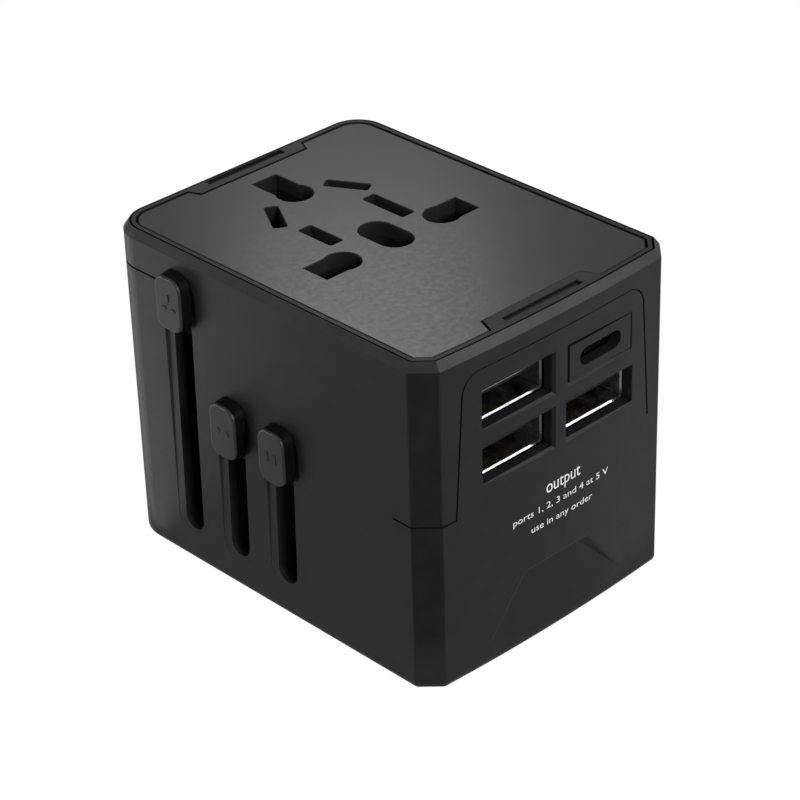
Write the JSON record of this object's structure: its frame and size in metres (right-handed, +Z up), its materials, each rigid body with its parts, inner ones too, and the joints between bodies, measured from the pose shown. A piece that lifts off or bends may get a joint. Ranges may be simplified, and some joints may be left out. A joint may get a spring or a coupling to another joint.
{
  "type": "travel adapter",
  "caption": "Pocket mains travel adapter with a universal socket on top, charging ports on the front and sliding plug pins in the base.",
  "frame": {"origin": "centre of the flat base, midway between the side faces and between the port face and the back", "axes": "+Z up out of the socket face, -Y out of the port face, -X out of the face with the slider knobs"},
  "size_m": [0.0507, 0.0636, 0.051],
  "materials": {
    "shell_black": "fine satin moulded",
    "bezel_black": "fine satin moulded",
    "plate_black": "semi-gloss",
    "window_grey": "milky",
    "inner_plastic": "moulded",
    "shutter_grey": "moulded",
    "knob_black": "satin moulded",
    "knob_cap": "satin moulded",
    "pin_plastic": "moulded",
    "plug_nickel": "nickel plated",
    "port_nickel": "nickel plated",
    "port_plastic": "moulded",
    "gold_contact": "gold plated",
    "contact_brass": "stamped",
    "fuse_ceramic": "ceramic",
    "fuse_cap": "plated",
    "screw_steel": "zinc plated",
    "spring_steel": "drawn wire",
    "board_green": "solder mask",
    "ferrite_grey": "sintered",
    "winding_tape": "tape",
    "capacitor_sleeve": "shrink sleeve",
    "chip_black": "moulded",
    "lamp_clear": "clear"
  },
  "bodies": {
    "case": {"board_chips": "chip_black", "capacitors": "capacitor_sleeve", "case_screws": "screw_steel", "earth_contact": "contact_brass", "fuse_body": "fuse_ceramic", "fuse_caps": "fuse_cap", "fuse_clips": "contact_brass", "indicator_lamps": "lamp_clear", "indicator_window_front": "window_grey", "indicator_window_rear": "window_grey", "inner_partition": "inner_plastic", "live_bus_bar": "contact_brass", "live_contact": "contact_brass", "lower_shell": "shell_black", "neutral_bus_bar": "contact_brass", "neutral_contact": "contact_brass", "shutter_springs": "spring_steel", "socket_deck": "inner_plastic", "socket_plate": "plate_black", "top_bezel": "bezel_black", "transformer_bobbin": "winding_tape", "transformer_core": "ferrite_grey", "upper_shell": "shell_black", "usb_a_contacts": "gold_contact", "usb_a_shell_lower_left": "port_nickel", "usb_a_shell_lower_right": "port_nickel", "usb_a_shell_upper_left": "port_nickel", "usb_a_tongues": "port_plastic", "usb_board": "board_green", "usb_c_insert": "shell_black", "usb_c_shell": "port_nickel", "usb_c_tongue": "port_plastic"},
    "uk_slider": {"uk_carriage": "inner_plastic", "uk_knob": "knob_black", "uk_knob_cap": "knob_cap", "uk_line_pin": "plug_nickel", "uk_neutral_pin": "plug_nickel", "uk_pin_sleeves": "pin_plastic", "uk_earth_pin": "pin_plastic"},
    "eu_slider": {"eu_carriage": "inner_plastic", "eu_knob": "knob_black", "eu_knob_cap": "knob_cap", "eu_pins": "plug_nickel", "eu_pin_sleeves": "pin_plastic", "eu_wipers": "contact_brass"},
    "us_slider": {"us_carriage": "inner_plastic", "us_knob": "knob_black", "us_knob_cap": "knob_cap", "us_wipers": "contact_brass"},
    "us_left_turret": {"us_turret_left": "inner_plastic", "us_blade_left": "plug_nickel"},
    "us_right_turret": {"us_turret_right": "inner_plastic", "us_blade_right": "plug_nickel"},
    "shutter": {"safety_shutter": "shutter_grey"}
  },
  "joints": [
    {"name": "uk_slide", "type": "slide", "parent": "case", "child": "uk_slider", "axis": [0, 0, -1], "range_m": [0, 0.0344]},
    {"name": "eu_slide", "type": "slide", "parent": "case", "child": "eu_slider", "axis": [0, 0, -1], "range_m": [0, 0.018]},
    {"name": "us_slide", "type": "slide", "parent": "case", "child": "us_slider", "axis": [0, 0, -1], "range_m": [0, 0.018]},
    {"name": "us_left_turn", "type": "hinge", "parent": "us_slider", "child": "us_left_turret", "pos_m": [-0.00715, -0.0042, 0.024], "axis": [0, 0, 1], "range_deg": [-30, 0]},
    {"name": "us_right_turn", "type": "hinge", "parent": "us_slider", "child": "us_right_turret", "pos_m": [0.00555, -0.0042, 0.024], "axis": [0, 0, 1], "range_deg": [0, 30]},
    {"name": "shutter_slide", "type": "slide", "parent": "case", "child": "shutter", "axis": [0, -1, 0], "range_m": [0, 0.006], "stiffness_N_per_m": 60, "springref_m": -0.002, "deforming": ["shutter_springs"]}
  ]
}
